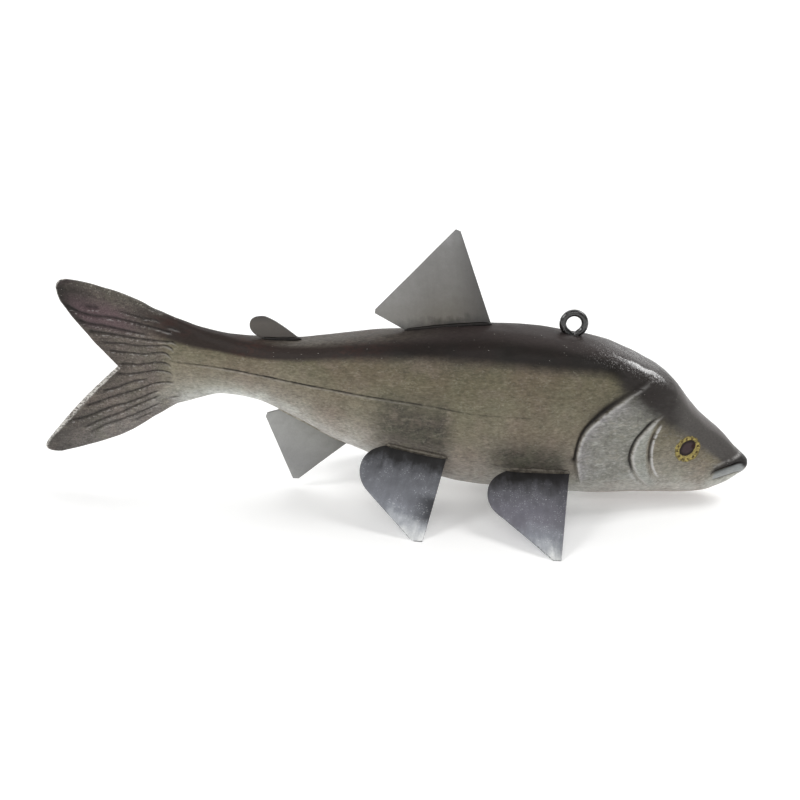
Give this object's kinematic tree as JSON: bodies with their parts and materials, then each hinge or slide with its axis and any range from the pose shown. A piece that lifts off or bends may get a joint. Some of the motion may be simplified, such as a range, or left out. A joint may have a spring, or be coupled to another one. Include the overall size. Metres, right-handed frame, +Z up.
{
  "type": "fish decoy",
  "caption": "Carved wooden fish decoy with a forked tail, painted sheet-metal fins and a screw eye in its nape for the line; it stands on the tips of its paired fins.",
  "frame": {"origin": "middle of the bounding box, on the ground under the belly", "axes": "+X towards the snout, +Z up, and the fish is the same on both sides of y = 0"},
  "size_m": [0.254, 0.107, 0.0979],
  "materials": {
    "carved_wood": "airbrushed paint under satin varnish",
    "fin_sheet": "satin grey-brown paint",
    "pale_fin_sheet": "satin pale grey paint",
    "dark_fin_sheet": "satin paint, near black at the root and pale at the tip",
    "screw_eye": "black paint"
  },
  "bodies": {
    "root": {"body": "carved_wood", "dorsal_fin": "fin_sheet", "adipose_fin": "fin_sheet", "anal_fin": "pale_fin_sheet", "pectoral_fin_left": "dark_fin_sheet", "pectoral_fin_right": "dark_fin_sheet", "pelvic_fin_left": "dark_fin_sheet", "pelvic_fin_right": "dark_fin_sheet", "screw_eye": "screw_eye"}
  },
  "joints": []
}
